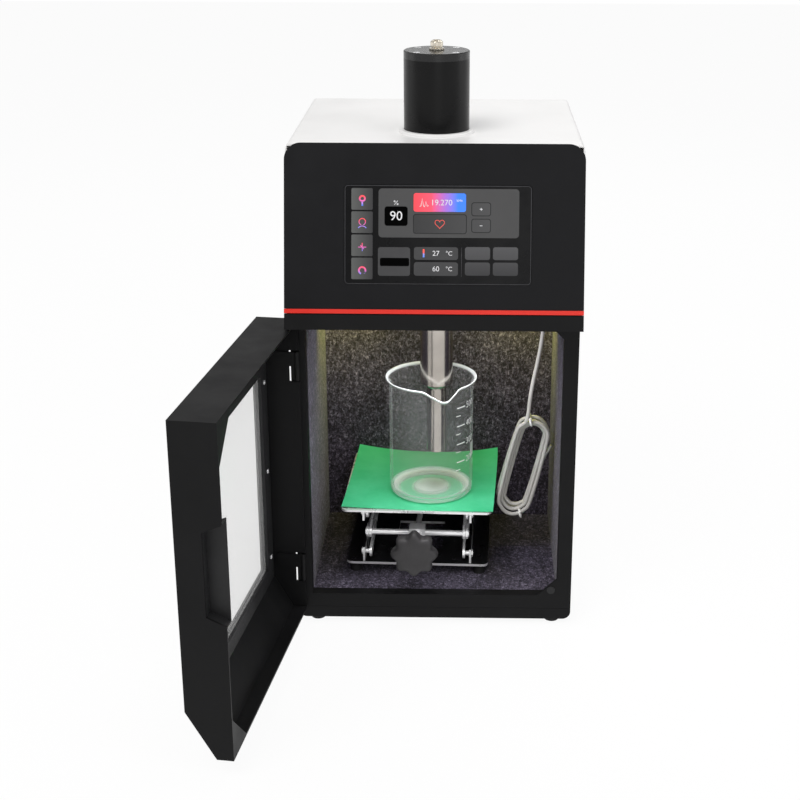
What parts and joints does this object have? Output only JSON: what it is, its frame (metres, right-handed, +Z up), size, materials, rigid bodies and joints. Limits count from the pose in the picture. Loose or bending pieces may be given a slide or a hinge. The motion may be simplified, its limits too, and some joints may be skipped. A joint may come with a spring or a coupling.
{
  "type": "probe sonicator",
  "caption": "Bench probe sonicator: sound-proof cabinet with swing door, leaning touch head, lift-out transducer and horn over a beaker on a scissor jack.",
  "frame": {"origin": "on the bench under the feet, in the cabinet front plane and half way across the cabinet", "axes": "+Z up, +Y from the front towards the back, +X to the viewer's right"},
  "size_m": [0.3346, 0.5271, 0.564],
  "materials": {
    "white_paint": "satin powder coat",
    "black_paint": "satin fine-grained powder coat",
    "black_panel": "satin",
    "red_strip": "satin",
    "foam": "speckled sound-proof foam",
    "zinc_sheet": "galvanised",
    "foot_rubber": "matt",
    "screen_glass": "gloss touch surface",
    "dark_plastic": "matt",
    "board_green": "circuit board",
    "aluminium": "extruded",
    "steel": "bright",
    "stainless": "brushed",
    "anodised": "satin black anodised",
    "titanium": "turned",
    "cap_metal": "dark anodised turned",
    "brass": "turned",
    "ceramic": "piezo ceramic",
    "clear_pane": "clear",
    "beaker_glass": "clear borosilicate",
    "mat_green": "silicone",
    "knob_black": "moulded",
    "lead_grey": "smooth",
    "lamp_lens": "diffusing"
  },
  "bodies": {
    "cabinet": {"base_tray": "black_paint", "rubber_feet": "foot_rubber", "chamber_shell": "zinc_sheet", "front_frame": "black_paint", "catch_magnets": "dark_plastic", "floor_lining": "foam", "side_linings": "foam", "back_lining": "foam", "ceiling_lining": "foam", "outer_wrap": "white_paint", "head_sill": "black_paint", "accent_strip": "red_strip", "front_panel": "black_panel", "touch_glass": "screen_glass", "display_module": "dark_plastic", "rear_panel": "white_paint", "rear_screws": "steel", "fan_frame": "dark_plastic", "power_inlet": "dark_plastic", "switch_body": "dark_plastic", "power_supply": "zinc_sheet", "generator_board": "board_green", "heat_sink": "aluminium", "chamber_lamp": "lamp_lens", "transducer_ring": "dark_plastic", "cabinet_hinges": "black_paint", "sensor_gland": "dark_plastic", "sensor_cord": "lead_grey", "sensor_coil": "lead_grey", "sensor_rod": "stainless", "jack_base": "stainless", "jack_feet": "foot_rubber"},
    "door": {"door_shell": "black_paint", "handle_pocket": "dark_plastic", "window_pane": "clear_pane", "window_retainer": "dark_plastic", "retainer_screws": "steel", "door_gussets": "black_paint", "door_hinges": "black_paint"},
    "fan_rotor": {"fan_rotor": "dark_plastic"},
    "power_rocker": {"switch_rocker": "dark_plastic"},
    "transducer": {"transducer_housing": "anodised", "transducer_cap": "cap_metal", "cap_screws": "steel", "cap_connector": "brass", "back_mass": "stainless", "piezo_rings": "ceramic", "horn": "titanium", "horn_tip": "titanium"},
    "jack_lower_outer": {"lower_arms_outer": "stainless"},
    "jack_lower_inner": {"lower_arms_inner": "stainless"},
    "jack_upper_inner": {"upper_arms_inner": "stainless"},
    "jack_upper_outer": {"upper_arms_outer": "stainless"},
    "jack_top": {"jack_platform": "stainless", "jack_mat": "mat_green", "beaker": "beaker_glass"},
    "jack_front_rod": {"front_cross_rod": "steel"},
    "jack_rear_rod": {"rear_cross_rod": "steel"},
    "jack_screw": {"lead_screw": "steel", "jack_knob": "knob_black"}
  },
  "joints": [
    {"name": "door_hinge", "type": "hinge", "parent": "cabinet", "child": "door", "pos_m": [-0.1292, -0.0031, 0], "axis": [0, 0, -1], "range_deg": [-97.34, 2.5]},
    {"name": "fan_spin", "type": "hinge", "parent": "cabinet", "child": "fan_rotor", "pos_m": [0.075, 0.245, 0.42497], "axis": [0, 1, 0], "continuous": true},
    {"name": "power_rocker", "type": "hinge", "parent": "cabinet", "child": "power_rocker", "pos_m": [-0.085, 0.2588, 0.112], "axis": [1, 0, 0], "range_deg": [-18, 0]},
    {"name": "transducer_lift", "type": "slide", "parent": "cabinet", "child": "transducer", "axis": [0, 0, 1], "range_m": [0, 0.34]},
    {"name": "jack_lift", "type": "hinge", "parent": "cabinet", "child": "jack_lower_outer", "pos_m": [-0.01528, 0.16138, 0.052], "axis": [-0.9995, 0.0314, 0], "range_deg": [-4.2, 10.6]},
    {"name": "jack_lower_cross", "type": "hinge", "parent": "jack_lower_outer", "child": "jack_lower_inner", "pos_m": [-0.017, 0.1065, 0.063], "axis": [0.9995, -0.0314, 0], "range_deg": [-9.4, 22.2]},
    {"name": "jack_front_knuckle", "type": "hinge", "parent": "jack_lower_outer", "child": "jack_upper_inner", "pos_m": [-0.01872, 0.05162, 0.074], "axis": [0.9995, -0.0314, 0], "range_deg": [-9.4, 22.2]},
    {"name": "jack_rear_knuckle", "type": "hinge", "parent": "jack_lower_inner", "child": "jack_upper_outer", "pos_m": [-0.01528, 0.16138, 0.074], "axis": [-0.9995, 0.0314, 0], "range_deg": [-9.4, 22.2]},
    {"name": "jack_top_pivot", "type": "hinge", "parent": "jack_upper_inner", "child": "jack_top", "pos_m": [-0.01528, 0.16138, 0.096], "axis": [-0.9995, 0.0314, 0], "range_deg": [-5.2, 11.6]},
    {"name": "jack_front_rod_turn", "type": "hinge", "parent": "jack_lower_outer", "child": "jack_front_rod", "pos_m": [-0.01872, 0.05162, 0.074], "axis": [0.9995, -0.0314, 0], "range_deg": [-5.2, 11.6]},
    {"name": "jack_rear_rod_turn", "type": "hinge", "parent": "jack_lower_inner", "child": "jack_rear_rod", "pos_m": [-0.01528, 0.16138, 0.074], "axis": [-0.9995, 0.0314, 0], "range_deg": [-5.2, 11.6]},
    {"name": "jack_screw_turn", "type": "hinge", "parent": "jack_front_rod", "child": "jack_screw", "pos_m": [-0.01872, 0.05162, 0.074], "axis": [0.0314, 0.9995, 0], "range_deg": [-943, 380]}
  ],
  "couplings": [
    {"joint": "jack_lower_cross", "follows": "jack_lift", "ratio": 2},
    {"joint": "jack_front_knuckle", "follows": "jack_lift", "ratio": 2},
    {"joint": "jack_rear_knuckle", "follows": "jack_lift", "ratio": 2},
    {"joint": "jack_top_pivot", "follows": "jack_lift", "ratio": 1},
    {"joint": "jack_front_rod_turn", "follows": "jack_lift", "ratio": 1},
    {"joint": "jack_rear_rod_turn", "follows": "jack_lift", "ratio": 1},
    {"joint": "jack_screw_turn", "follows": "jack_lift", "ratio": -88}
  ]
}
